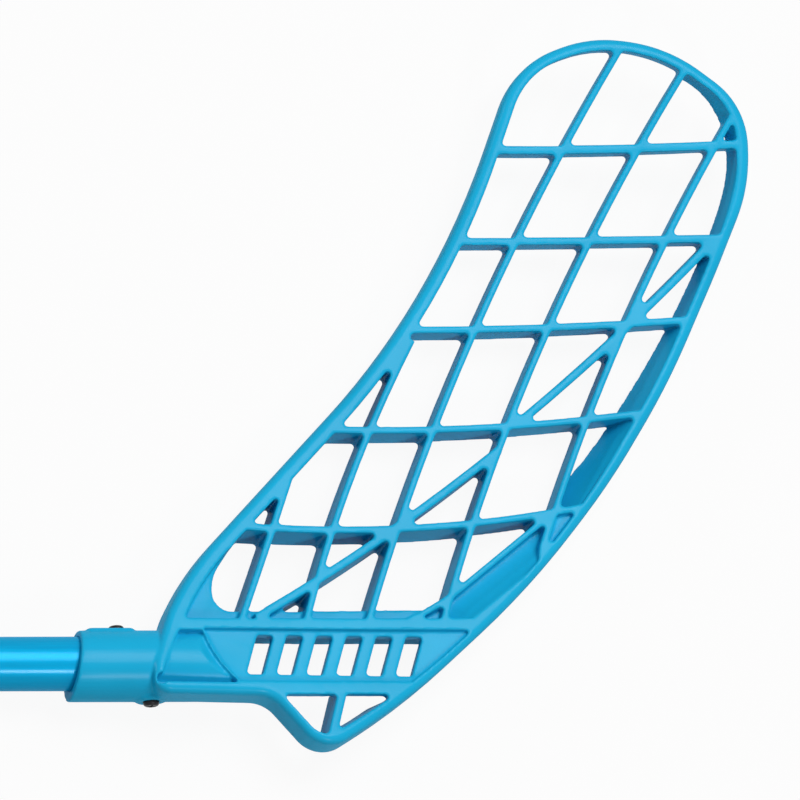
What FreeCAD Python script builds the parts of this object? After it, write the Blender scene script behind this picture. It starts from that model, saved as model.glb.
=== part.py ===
"""Floorball stick: a hooked cage blade screwed to a tapered tube with a wound grip and an end cap.

Millimetres. The origin is the centre of the butt face, +X runs along the shaft to the blade, +Y to the toe
side of the blade and +Z up, out of the concave face of the blade, with the stick lying flat.
"""
import FreeCAD, Part
import math
import os

from FreeCAD import Placement, Rotation, Vector

# Shaft
SHAFT_LENGTH = 960.0
SHAFT_LOWER_OD = 20.2
SHAFT_UPPER_OD = 24.6
SHAFT_WALL = 1.7
SHAFT_LOWER_LENGTH = 430.0
SHAFT_TAPER_LENGTH = 210.0

# End cap
CAP_HEAD_OD = 31.0
CAP_HEAD_THICKNESS = 6.0
CAP_HEAD_ROUND = 2.2
CAP_PLUG_LENGTH = 26.0
CAP_PLUG_CLEARANCE = 0.05
CAP_PLUG_WALL = 2.4

# Grip
GRIP_LENGTH = 268.0
GRIP_THICKNESS = 1.9
BAND_LENGTH = 16.0
BAND_THICKNESS = 0.9
BAND_LAP = 5.0

# Blade socket
SOCKET_OD = 26.3
SOCKET_DROP = 0.95
SOCKET_DEPTH = 46.0
SOCKET_CLEARANCE = 0.05
SOCKET_NOSE = 13.0
SOCKET_END_ROUND = 4.0
RAMP_FOOT = ((47.8, 10.7), (51.8, 0.6), (58.5, -8.0))
RAMP_RADIUS = 8.5
RAMP_STEP = 0.4
RAMP_SINK = 0.6
RAMP_LAND = 0.8
MOUTH_SLOPE = 9.6
MOUTH_X = -0.8

# Blade screws, in the socket's frame
SCREW_SHANK_D = 3.4
SCREW_HEAD_D = 6.0
SCREW_HEAD_HEIGHT = 2.1
SCREW_HEAD_ROUND = 1.2
SCREW_LENGTH = 13.0
SCREW_CLEARANCE = 0.05
SCREW_SEAT_DEPTH = 0.4
SCREW_SEAT_CLEARANCE = 0.35
UPPER_SCREW_X = 16.5
LOWER_SCREW_X = 28.2
UPPER_PAD_X = (4.2, 22.6)
UPPER_PAD_TOP = 12.6
UPPER_PAD_WIDTH = 10.5
UPPER_PAD_CORNER = 2.0
LOWER_PAD_D = 12.0
LOWER_PAD_BOTTOM = 14.5
PAD_ROUND = 1.0

# Hook of the blade: lengths run along the hook axis from its zero point
HOOK_ANGLE = 63.0
HOOK_ZERO = (90.0, -30.0)
HOOK_START = -90.0
HOOK_LOW = 140.0
HOOK_TOE = 290.0
HOOK_RADIUS = 800.0
FRONT_LOW_Z = 1.5
HEEL_THICKNESS = 17.0
MID_THICKNESS = 13.5
TOE_THICKNESS = 8.5

# Blade outline, anticlockwise: corner x, corner y, corner radius, width of the rim on the side that follows
BLADE_CORNERS = [
    (89.9, -37.4, 12.0, 4.2),
    (123.8, -16.8, 300.0, 3.2),
    (176.5, 29.0, 350.0, 3.4),
    (210.1, 69.1, 300.0, 4.2),
    (234.8, 106.9, 290.0, 4.2),
    (254.5, 148.0, 300.0, 4.2),
    (268.5, 179.8, 60.0, 4.8),
    (268.3, 210.2, 30.0, 3.9),
    (238.6, 232.6, 60.0, 3.8),
    (209.4, 236.7, 48.0, 4.0),
    (181.0, 226.6, 34.0, 4.4),
    (148.0, 139.8, 290.0, 5.6),
    (43.2, 33.4, 120.0, 6.2),
    (34.0, 16.6, 20.0, 4.6),
    (26.2, -2.6, 12.0, 3.0),
    (26.3, -14.3, 6.0, 3.0),
    (71.6, -14.7, 12.0, 3.0),
]
RIM_ROUND = 2.8

# Bars of the cage: points along each bar's middle line, from where it meets the rim or a rib
CROSS_BAR_WIDTH = 2.3
CROSS_BARS = [
    ((173.5, 194.5), (218.0, 194.4), (264.0, 195.7)),
    ((157.5, 160.4), (205.0, 160.3), (255.0, 160.6)),
    ((137.5, 127.1), (190.5, 127.8), (242.0, 130.2)),
    ((104.0, 88.9), (163.0, 89.8), (218.5, 94.6)),
    ((67.0, 51.3), (134.0, 51.2), (197.0, 59.1)),
]
LONG_BAR_WIDTH = 2.3
LONG_BARS = [
    ((63.3, 16.5), (74.9, 43.5), (86.2, 71.0)),
    ((88.6, 17.0), (108.2, 67.0), (135.2, 120.6)),
    ((112.8, 17.0), (159.3, 123.3), (219.8, 230.8)),
    ((141.8, 17.0), (186.6, 122.0), (244.3, 222.9)),
    ((182.4, 44.5), (217.9, 126.0), (261.0, 204.0)),
]
BRACE_WIDTH = 2.9
BRACES = [
    ((71.0, 17.1), (119.0, 46.8), (165.3, 79.5)),
    ((176.5, 92.2), (211.9, 121.2), (249.5, 155.8)),
]
THIN_BRACE_WIDTH = 2.0
THIN_BRACES = [
    ((128.0, 15.4), (136.4, 19.6), (143.5, 24.0)),
    ((142.5, 22.8), (181.6, 53.2)),
]
MAIN_RIB = ((36.0, 12.7), (154.0, 14.1))
MAIN_RIB_WIDTH = 4.0
LOWER_RIB = ((28.5, -13.0), (126.0, -11.3))
LOWER_RIB_WIDTH = 4.8
HEEL_BAR = ((98.9, -13.5), (92.4, -33.0))
HEEL_BAR_WIDTH = 3.2
BAR_LAP = 3.0
CELL_ROUND = 1.3
ROUND_SHARE = 0.4
LEAST_WIDTH = 1.5
LEAST_CELL = 18.0

# Webs: the closed areas between the bars, as corners x, y, radius
LEDGE_AND_GUSSET = [
    (28.0, 12.6, 0.0), (142.5, 14.0, 0.0), (142.5, 20.3, 0.0), (53.0, 18.7, 7.0),
    (53.0, 32.0, 18.0), (72.0, 58.0, 0.0), (28.0, 58.0, 0.0),
]
POCKET = [
    (142.0, 14.0, 0.0), (168.0, 14.2, 0.0), (178.0, 36.5, 0.0), (179.2, 44.7, 0.0), (183.0, 54.3, 0.0),
    (142.0, 22.4, 0.0),
]
CORNER = [(185.0, 44.0, 0.0), (202.0, 60.0, 0.0), (187.6, 57.5, 0.0)]
PLATE = [(20.0, -12.6, 0.0), (150.0, -10.9, 0.0), (170.0, 14.3, 0.0), (20.0, 12.5, 0.0)]
HEEL_SHELF = [(64.0, -16.0, 0.0), (130.0, -16.0, 0.0), (130.0, -9.0, 0.0), (76.0, -9.0, 0.0)]
WEB_THICKNESS = 3.0
WEB_LAP = 1.5
WEB_ROUND = 1.0
LEAST_FIELD = 10.0
PLATE_RECESS = 2.2
SOCKET_RECESS = 5.2
PLATE_THICKNESS = 5.0
SHELF_DEPTH = 4.2
GUSSET_RECESS = 4.0
CORNER_RECESS = 3.0
POCKET_DEPTH = 6.0
POCKET_SCOOP_RADIUS = 15.0
POCKET_SCOOP = ((146.0, 26.5), (176.0, 49.0))

# Slots in the plate
SLOT_COUNT = 6
SLOT_FIRST_X = 65.0
SLOT_PITCH = 11.6
SLOT_WIDTH = 6.6
SLOT_LOW_Y = -6.4
SLOT_HIGH_Y = 9.2
SLOT_LEAN = 20.0
SLOT_ROUND = 1.2

# Sloped flanges inside the rim: station x, y beside the rim's inner edge, and width at the back
LOWER_FLANGE = [
    (193.5, 55.0, 8.3), (209.5, 77.5, 8.9), (218.5, 92.5, 7.4), (232.0, 112.0, 5.8), (240.5, 130.0, 4.0),
    (256.5, 163.5, 2.8), (262.8, 187.0, 2.5), (262.0, 202.0, 2.8), (256.4, 214.0, 1.8), (245.4, 223.2, 0.9),
]
HEEL_FLANGE = [(93.2, -32.2, 2.2), (110.0, -23.0, 2.5), (126.0, -11.5, 2.8)]
FLANGE_FRONT_STEP = 0.8
FLANGE_LAP = 2.0

BLADE_X = CAP_HEAD_THICKNESS + SHAFT_LENGTH - SOCKET_DEPTH
TOOL_REACH = 60.0


def rounded_wire(corners):
    """Closed wire of straight sides with a tangent arc at each corner that has a radius."""
    starts, ends, arcs = [], [], []
    count = len(corners)
    for i, (x, y, radius) in enumerate(corners):
        corner = Vector(x, y, 0)
        back = Vector(*corners[i - 1][:2], 0) - corner
        ahead = Vector(*corners[(i + 1) % count][:2], 0) - corner
        back.normalize()
        ahead.normalize()
        half = back.getAngle(ahead) / 2
        if radius == 0:
            starts.append(corner)
            ends.append(corner)
            arcs.append(None)
            continue
        reach = radius / math.tan(half)
        middle = (back + ahead).normalize() * (radius / math.sin(half) - radius)
        starts.append(corner + back * reach)
        ends.append(corner + ahead * reach)
        arcs.append(corner + middle)
    edges = []
    for i in range(count):
        if arcs[i] is not None:
            edges.append(Part.Arc(starts[i], arcs[i], ends[i]).toShape())
        after = starts[(i + 1) % count]
        if ends[i].distanceToPoint(after) > 1e-6:
            edges.append(Part.LineSegment(ends[i], after).toShape())
    return Part.Wire(edges)


def rounded_face(corners):
    """Flat face inside rounded_wire."""
    return Part.Face(rounded_wire(corners))


def inset_corners(corners):
    """Corners of the outline moved in by the rim's width, side by side."""
    count = len(corners)
    sides = []
    for i, (x, y, _, width) in enumerate(corners):
        start = Vector(x, y, 0)
        along = Vector(*corners[(i + 1) % count][:2], 0) - start
        along.normalize()
        inward = Vector(-along.y, along.x, 0)
        sides.append((start + inward * width, along))
    inner = []
    for i, (x, y, radius, width) in enumerate(corners):
        point, along = sides[i - 1]
        other, heading = sides[i]
        turn = along.cross(heading).z
        step = (other - point).cross(heading).z / turn
        corner = point + along * step
        mean = (corners[i - 1][3] + width) / 2
        inner.append((corner.x, corner.y, radius - math.copysign(mean, turn)))
    return inner


def strip(points, width):
    """Flat band along a straight line or an arc through three points, with its ends run on by the lap."""
    places = [Vector(x, y, 0) for x, y in points]
    half = width / 2
    if len(places) == 2:
        along = (places[1] - places[0]).normalize()
        side = along.cross(Vector(0, 0, 1)) * half
        start = places[0] - along * BAR_LAP
        end = places[1] + along * BAR_LAP
        corners = [start + side, end + side, end - side, start - side]
        return Part.Face(Part.makePolygon(corners + corners[:1]))
    edge = Part.Arc(*places).toShape()
    circle = edge.Curve
    lap = BAR_LAP / circle.Radius
    first, last = edge.ParameterRange
    spans = [circle.value(turn) for turn in (first - lap, (first + last) / 2, last + lap)]
    near = [place + (circle.Center - place).normalize() * half for place in spans]
    far = [place - (circle.Center - place).normalize() * half for place in spans]
    edges = [
        Part.Arc(*near).toShape(),
        Part.LineSegment(near[2], far[2]).toShape(),
        Part.Arc(*reversed(far)).toShape(),
        Part.LineSegment(far[0], near[0]).toShape(),
    ]
    return Part.Face(Part.Wire(edges))


def hook_length(x, y):
    """Length along the hook axis of a point of the plan."""
    angle = math.radians(HOOK_ANGLE)
    return (x - HOOK_ZERO[0]) * math.cos(angle) + (y - HOOK_ZERO[1]) * math.sin(angle)


def front_z(length):
    """Height of the concave face at a length along the hook axis."""
    return FRONT_LOW_Z + HOOK_RADIUS - math.sqrt(HOOK_RADIUS ** 2 - (length - HOOK_LOW) ** 2)


def hook_normal(x, y):
    """Direction out of the concave face at a point of the plan."""
    angle = math.radians(HOOK_ANGLE)
    lean = (hook_length(x, y) - HOOK_LOW) / HOOK_RADIUS
    return Vector(-lean * math.cos(angle), -lean * math.sin(angle), 1).normalize()


def back_z(length):
    """Height of the back face at a length along the hook axis, from the arc that bounds it."""
    circle = Part.Arc(*back_points()).toShape().Curve
    return circle.Center.z - math.sqrt(circle.Radius ** 2 - (length - circle.Center.x) ** 2)


def back_points():
    """Three points of the back face's arc: heel, middle and toe."""
    stations = ((0.0, HEEL_THICKNESS), (HOOK_LOW, MID_THICKNESS), (HOOK_TOE, TOE_THICKNESS))
    return [Vector(length, 0, front_z(length) - depth) for length, depth in stations]


def front_arc(depth):
    """Arc of the concave face, moved back by a depth, over the whole reach of the blade."""
    centre_z = FRONT_LOW_Z + HOOK_RADIUS
    radius = HOOK_RADIUS + depth
    places = []
    for length in (HOOK_START, HOOK_LOW, HOOK_TOE + TOOL_REACH):
        drop = math.sqrt(radius ** 2 - (length - HOOK_LOW) ** 2)
        places.append(Vector(length, 0, centre_z - drop))
    return places


def back_arc():
    """Arc of the back face over the whole reach of the blade."""
    ends = (HOOK_START, HOOK_LOW, HOOK_TOE + TOOL_REACH)
    return [Vector(length, 0, back_z(length)) for length in ends]


def hooked_layer(upper, lower):
    """Solid between two arcs of the hook's side view, wide enough for the whole blade."""
    edges = [
        Part.Arc(*upper).toShape(),
        Part.LineSegment(upper[2], lower[2]).toShape(),
        Part.Arc(*reversed(lower)).toShape(),
        Part.LineSegment(lower[0], upper[0]).toShape(),
    ]
    side = Part.Face(Part.Wire(edges))
    reach = HOOK_TOE + TOOL_REACH
    layer = side.extrude(Vector(0, 2 * reach, 0))
    layer.translate(Vector(0, -reach, 0))
    hook_frame = Placement(Vector(*HOOK_ZERO, 0), Rotation(Vector(0, 0, 1), HOOK_ANGLE))
    layer.Placement = hook_frame * layer.Placement
    return layer


def shifted(points, rise):
    """The same points at another height."""
    return [point + Vector(0, 0, rise) for point in points]


def upright(face):
    """Tall prism over a face of the plan."""
    prism = face.extrude(Vector(0, 0, 2 * TOOL_REACH))
    prism.translate(Vector(0, 0, -TOOL_REACH))
    return prism


def along_normal(face):
    """Prism over a face of the plan, square to the concave face at its middle."""
    middle = face.CenterOfMass
    normal = hook_normal(middle.x, middle.y)
    prism = face.extrude(normal * 2 * TOOL_REACH)
    prism.translate(Vector(0, 0, front_z(hook_length(middle.x, middle.y))) - normal * TOOL_REACH)
    return prism


def softened(faces, radius, least_area):
    """Faces with rounded corners, small ones less so; those too small or narrow to mould are left out."""
    result = []
    for face in faces:
        mean_width = 2 * face.Area / face.OuterWire.Length
        if face.Area > least_area and mean_width > LEAST_WIDTH:
            room = min(radius, ROUND_SHARE * mean_width)
            for piece in face.makeOffset2D(-room).Faces:
                result.extend(piece.makeOffset2D(room).Faces)
    return result


def cage_bars():
    """All the bars of the cage as flat bands."""
    bars = [strip(points, CROSS_BAR_WIDTH) for points in CROSS_BARS]
    bars += [strip(points, LONG_BAR_WIDTH) for points in LONG_BARS]
    bars += [strip(points, BRACE_WIDTH) for points in BRACES]
    bars += [strip(points, THIN_BRACE_WIDTH) for points in THIN_BRACES]
    bars.append(strip(MAIN_RIB, MAIN_RIB_WIDTH))
    bars.append(strip(LOWER_RIB, LOWER_RIB_WIDTH))
    bars.append(strip(HEEL_BAR, HEEL_BAR_WIDTH))
    return bars


def blade_body():
    """Hooked slab cut to the outline, with its outer edges rounded."""
    slab = hooked_layer(front_arc(0.0), back_arc())
    outline = rounded_face([corner[:3] for corner in BLADE_CORNERS])
    body = slab.common(upright(outline)).Solids[0]
    broad = sorted(body.Faces, key=lambda face: face.Area)[-2:]
    return body.makeFillet(RIM_ROUND, broad[0].OuterWire.Edges + broad[1].OuterWire.Edges)


def cage_openings(inner, bars, webs):
    """Tools for the open cells, less the flanges: square to the concave face, or upright at the heel."""
    cells = inner.cut(bars + webs).Faces
    flanges = [rim_flange(inner, stations) for stations in (LOWER_FLANGE, HEEL_FLANGE)]
    tools = []
    for cell in softened(cells, CELL_ROUND, LEAST_CELL):
        at_heel = cell.CenterOfMass.y < LOWER_RIB[0][1]
        tool = upright(cell) if at_heel else along_normal(cell)
        tools.append(tool.cut(flanges))
    return tools


def web_fields(inner, bars, web):
    """Flat fields of a web between the bars, run on past the web's free edge."""
    return softened(inner.common(web.makeOffset2D(WEB_LAP)).cut(bars).Faces, WEB_ROUND, LEAST_FIELD)


def front_layer(depth):
    """Solid over the whole blade in front of a depth under the concave face."""
    return hooked_layer(shifted(front_arc(0.0), TOOL_REACH), front_arc(depth))


def back_layer(depth):
    """Solid over the whole blade behind a depth under the concave face."""
    return hooked_layer(front_arc(depth), shifted(back_arc(), -TOOL_REACH))


def front_recesses(fields, depth):
    """Tools that set fields back to a depth under the concave face."""
    layer = front_layer(depth)
    return [layer.common(along_normal(field)) for field in fields]


def back_recesses(fields, depth):
    """Tools that hollow the back of fields up to a depth under the concave face."""
    layer = back_layer(depth)
    return [layer.common(along_normal(field)) for field in fields]


def web_recesses(fields, depth, thickness):
    """Tools that leave a web of even thickness, set back from both faces."""
    return front_recesses(fields, depth) + back_recesses(fields, depth + thickness)


def pocket_recesses(fields):
    """Tools for the scooped pocket: a round hollow in front and a flat one at the back."""
    ends = []
    for x, y in POCKET_SCOOP:
        ends.append(Vector(x, y, front_z(hook_length(x, y)) + POCKET_SCOOP_RADIUS - POCKET_DEPTH))
    along = (ends[1] - ends[0]).normalize()
    length = ends[0].distanceToPoint(ends[1]) + 2 * POCKET_SCOOP_RADIUS
    scoop = Part.makeCylinder(POCKET_SCOOP_RADIUS, length, ends[0] - along * POCKET_SCOOP_RADIUS, along)
    tools = [scoop.common(along_normal(field)) for field in fields]
    return tools + back_recesses(fields, POCKET_DEPTH + WEB_THICKNESS)


def shelf_recesses(inner):
    """Tools that thin the lower rib from the back, over the heel cells and beside the heel bar."""
    area = inner.common(rounded_face(HEEL_SHELF)).cut(strip(HEEL_BAR, HEEL_BAR_WIDTH))
    return [back_layer(SHELF_DEPTH).common(upright(face)) for face in area.Faces]


def rim_flange(inner, stations):
    """Sloped flange inside the rim, from the front of its inner edge down past its back."""
    edge = inner.OuterWire
    feet = [edge.distToShape(Part.Vertex(x, y, 0))[1][0][0] for x, y, _ in stations]
    sections = []
    for i, foot in enumerate(feet):
        along = (feet[min(i + 1, len(feet) - 1)] - feet[max(i - 1, 0)]).normalize()
        inward = Vector(-along.y, along.x, 0)
        length = hook_length(foot.x, foot.y)
        top = foot + Vector(0, 0, front_z(length) - FLANGE_FRONT_STEP)
        low = foot + Vector(0, 0, back_z(length) - FLANGE_LAP)
        outward = inward * -FLANGE_LAP
        lip = low + inward * stations[i][2]
        sections.append(Part.makePolygon([top, top + outward, low + outward, lip, top]))
    return Part.makeLoft(sections, True, False)


def plate_slots():
    """Slanted slots through the plate."""
    lean = math.tan(math.radians(SLOT_LEAN))
    tools = []
    for i in range(SLOT_COUNT):
        left = SLOT_FIRST_X + i * SLOT_PITCH
        corners = []
        for x, y in ((left, SLOT_LOW_Y), (left + SLOT_WIDTH, SLOT_LOW_Y),
                     (left + SLOT_WIDTH, SLOT_HIGH_Y), (left, SLOT_HIGH_Y)):
            corners.append((x + y * lean, y, SLOT_ROUND))
        tools.append(upright(rounded_face(corners)))
    return tools


def socket_body():
    """Round socket with a rounded end at the back, which in front runs out in a hollow ramp."""
    start = MOUTH_X - SOCKET_OD / 2
    end = SOCKET_DEPTH + SOCKET_NOSE
    body = Part.makeCylinder(SOCKET_OD / 2, end - start, Vector(start, -SOCKET_DROP, 0), Vector(1, 0, 0))
    rim = [e for e in body.Edges if abs(e.BoundBox.XMin - end) < 1e-6]
    return body.makeFillet(SOCKET_END_ROUND, rim).cut(ramp_tools())


def ramp_foot():
    """Circle of the ramp's foot in the plan."""
    return Part.Arc(*[Vector(x, y, 0) for x, y in RAMP_FOOT]).toShape().Curve


def socket_side():
    """Area of the plan on the socket's side of the ramp's foot, short of the foot by its land."""
    foot = ramp_foot()
    end = RAMP_FOOT[-1][0]
    area = rounded_face([(-TOOL_REACH, -TOOL_REACH, 0), (end, -TOOL_REACH, 0), (end, TOOL_REACH, 0),
                         (-TOOL_REACH, TOOL_REACH, 0)])
    return area.cut(Part.Face(Part.Wire(Part.makeCircle(foot.Radius + RAMP_LAND, foot.Center))))


def plate_recesses(fields):
    """Tools that leave the plate: it lies deeper beside the socket than beyond the ramp."""
    near = socket_side()
    tools = back_recesses(fields, PLATE_RECESS + PLATE_THICKNESS)
    for field in fields:
        tools += front_recesses(field.common(near).Faces, SOCKET_RECESS)
        tools += front_recesses(field.cut(near).Faces, PLATE_RECESS)
    return tools


def ramp_tools():
    """Hollow of the ramp along the arc of its foot, and all that stands over the plate beyond the foot."""
    foot = ramp_foot()
    x, y = RAMP_FOOT[1]
    normal = hook_normal(x, y)
    across = foot.Center - Vector(x, y, 0)
    across.z = -(across.x * normal.x + across.y * normal.y) / normal.z
    floor = Vector(x, y, front_z(hook_length(x, y)) - PLATE_RECESS)
    centre = floor + across + normal * (RAMP_STEP + RAMP_RADIUS)
    hollow = Part.makeTorus(foot.Radius, RAMP_RADIUS, centre, normal)
    beyond = upright(Part.Face(Part.Wire(Part.makeCircle(foot.Radius, foot.Center))))
    return [hollow, beyond.common(front_layer(PLATE_RECESS + RAMP_SINK))]


def mouth_cut():
    """Slanted end of the socket."""
    size = 4 * SOCKET_OD
    box = Part.makeBox(size, size, size, Vector(-size, -size / 2, -size / 2))
    box.rotate(Vector(0, 0, 0), Vector(0, 0, 1), -MOUTH_SLOPE)
    box.translate(Vector(MOUTH_X, -SOCKET_DROP, 0))
    return box


def upper_pad():
    """Flat pad under the upper screw, with rounded corners."""
    half = UPPER_PAD_WIDTH / 2
    near, far = UPPER_PAD_X
    plan = [(x, z, UPPER_PAD_CORNER) for x, z in ((near, -half), (far, -half), (far, half), (near, half))]
    pad = rounded_face(plan).extrude(Vector(0, 0, UPPER_PAD_TOP))
    rim = [e for e in pad.Edges if abs(e.BoundBox.ZMin - UPPER_PAD_TOP) < 1e-6]
    pad = pad.makeFillet(PAD_ROUND, rim)
    pad.rotate(Vector(0, 0, 0), Vector(1, 0, 0), -90)
    return pad


def lower_pad():
    """Round pad under the lower screw."""
    middle = Vector(LOWER_SCREW_X, 0, 0)
    pad = Part.makeCylinder(LOWER_PAD_D / 2, LOWER_PAD_BOTTOM, middle, Vector(0, -1, 0))
    rim = [e for e in pad.Edges if abs(e.BoundBox.YMax + LOWER_PAD_BOTTOM) < 1e-6]
    return pad.makeFillet(PAD_ROUND, rim)


def screw_seats():
    """Where the two screws sit: x, height of the seat across the shaft, and which way the head faces."""
    return (
        (UPPER_SCREW_X, UPPER_PAD_TOP - SCREW_SEAT_DEPTH, 1),
        (LOWER_SCREW_X, -LOWER_PAD_BOTTOM + SCREW_SEAT_DEPTH, -1),
    )


def screw_hole(x, seat, way):
    """Clearance hole and head recess of one screw."""
    out = Vector(0, way, 0)
    base = Vector(x, seat, 0)
    reach = SCREW_LENGTH + SCREW_SEAT_DEPTH
    hole = Part.makeCylinder(SCREW_SHANK_D / 2 + SCREW_CLEARANCE, reach, base - out * reach, out)
    recess = Part.makeCylinder(SCREW_HEAD_D / 2 + SCREW_SEAT_CLEARANCE, SOCKET_OD, base, out)
    return [hole, recess]


def bore_tool():
    """Bore of the socket, as deep as the shaft goes in."""
    radius = SHAFT_LOWER_OD / 2 + SOCKET_CLEARANCE
    return Part.makeCylinder(radius, SOCKET_DEPTH + SOCKET_OD, Vector(-SOCKET_OD, 0, 0), Vector(1, 0, 0))


def blade():
    """The whole moulding: hooked cage, webs, flanges and socket."""
    inner = rounded_face(inset_corners(BLADE_CORNERS))
    bars = cage_bars()
    webs = [rounded_face(web) for web in (LEDGE_AND_GUSSET, POCKET, CORNER, PLATE)]
    gusset, pocket, corner, plate = [web_fields(inner, bars, web) for web in webs]
    tools = cage_openings(inner, bars, webs)
    tools += web_recesses(gusset, GUSSET_RECESS, WEB_THICKNESS)
    tools += web_recesses(corner, CORNER_RECESS, WEB_THICKNESS)
    tools += plate_recesses(plate)
    tools += pocket_recesses(pocket)
    tools += shelf_recesses(inner)
    cage = blade_body().cut(tools + plate_slots())
    whole = cage.fuse([socket_body(), upper_pad(), lower_pad()])
    cuts = [mouth_cut(), bore_tool()]
    for seat in screw_seats():
        cuts += screw_hole(*seat)
    whole = whole.cut(cuts).Solids[0]
    whole.translate(Vector(BLADE_X, 0, 0))
    return whole


def tube(sections):
    """Turned solid from (x, radius) pairs of its half section."""
    points = [Vector(x, radius, 0) for x, radius in sections]
    face = Part.Face(Part.makePolygon(points + [points[0]]))
    return face.revolve(Vector(0, 0, 0), Vector(1, 0, 0), 360)


def shaft_radius(x):
    """Outer radius of the shaft at a place along it."""
    taper_end = CAP_HEAD_THICKNESS + SHAFT_LENGTH - SHAFT_LOWER_LENGTH
    share = min(max((taper_end - x) / SHAFT_TAPER_LENGTH, 0.0), 1.0)
    return (SHAFT_LOWER_OD + share * (SHAFT_UPPER_OD - SHAFT_LOWER_OD)) / 2


def shaft():
    """Tapered tube with two screw holes near its lower end."""
    start = CAP_HEAD_THICKNESS
    end = start + SHAFT_LENGTH
    taper_end = end - SHAFT_LOWER_LENGTH
    places = (start, taper_end - SHAFT_TAPER_LENGTH, taper_end, end)
    outside = [(x, shaft_radius(x)) for x in places]
    inside = [(x, radius - SHAFT_WALL) for x, radius in reversed(outside)]
    body = tube(outside + inside)
    for x, seat, way in screw_seats():
        hole = screw_hole(x, seat, way)[0]
        hole.translate(Vector(BLADE_X, 0, 0))
        body = body.cut(hole)
    return body


def screw(x, seat, way):
    """Pan-head screw with its point toward the shaft's axis."""
    out = Vector(0, way, 0)
    base = Vector(BLADE_X + x, seat, 0)
    tip = SCREW_SHANK_D / 2
    shank = Part.makeCylinder(SCREW_SHANK_D / 2, SCREW_LENGTH - tip, base - out * (SCREW_LENGTH - tip), out)
    point = Part.makeCone(0.0, SCREW_SHANK_D / 2, tip, base - out * SCREW_LENGTH, out)
    head = Part.makeCylinder(SCREW_HEAD_D / 2, SCREW_HEAD_HEIGHT, base, out)
    top = seat + way * SCREW_HEAD_HEIGHT
    crown = [e for e in head.Edges if abs(e.BoundBox.Center.y - top) < 1e-6 and e.BoundBox.YLength < 1e-6]
    head = head.makeFillet(SCREW_HEAD_ROUND, crown)
    return shank.fuse([point, head]).removeSplitter()


def end_cap():
    """Knob that closes the butt end, with its hollow plug inside the tube."""
    plug = SHAFT_UPPER_OD / 2 - SHAFT_WALL - CAP_PLUG_CLEARANCE
    head = CAP_HEAD_OD / 2
    reach = CAP_HEAD_THICKNESS + CAP_PLUG_LENGTH
    body = tube([
        (0, 0), (0, head), (CAP_HEAD_THICKNESS, head), (CAP_HEAD_THICKNESS, plug), (reach, plug),
        (reach, plug - CAP_PLUG_WALL), (CAP_HEAD_THICKNESS, plug - CAP_PLUG_WALL), (CAP_HEAD_THICKNESS, 0),
    ])
    rims = [e for e in body.Edges
            if abs(e.BoundBox.YMax - head) < 1e-6 and e.BoundBox.XLength < 1e-6]
    return body.makeFillet(CAP_HEAD_ROUND, rims)


def grip_tape():
    """Sleeve of the wound tape."""
    bare = SHAFT_UPPER_OD / 2
    over = bare + GRIP_THICKNESS
    start = CAP_HEAD_THICKNESS
    end = start + GRIP_LENGTH
    return tube([(start, bare), (start, over), (end, over), (end, bare)])


def grip_band():
    """Band that holds the tape's lower end to the shaft."""
    end = CAP_HEAD_THICKNESS + GRIP_LENGTH
    bare = SHAFT_UPPER_OD / 2
    over = bare + GRIP_THICKNESS
    return tube([
        (end - BAND_LAP, over), (end - BAND_LAP, over + BAND_THICKNESS), (end, over + BAND_THICKNESS),
        (end + BAND_LENGTH - BAND_LAP, bare + BAND_THICKNESS), (end + BAND_LENGTH - BAND_LAP, bare),
        (end, bare), (end, over),
    ])


def main():
    """Write every piece to its own file."""
    os.makedirs("parts", exist_ok=True)
    upper, lower = screw_seats()
    pieces = {
        "blade": blade(),
        "shaft": shaft(),
        "upper_blade_screw": screw(*upper),
        "lower_blade_screw": screw(*lower),
        "end_cap": end_cap(),
        "grip_tape": grip_tape(),
        "grip_band": grip_band(),
    }
    for name, shape in pieces.items():
        print(name, shape.isValid(), len(shape.Solids), round(shape.Volume), shape.BoundBox)
        shape.exportStep("parts/" + name + ".step")


if __name__ == "__main__":
    main()
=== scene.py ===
"""Floorball stick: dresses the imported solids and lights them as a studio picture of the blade."""
import logging
import math
from contextlib import contextmanager
from dataclasses import dataclass
from enum import Enum
from typing import Any, Callable, Iterator, Optional, Union

import bmesh
import bpy
from mathutils import Matrix, Vector


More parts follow.
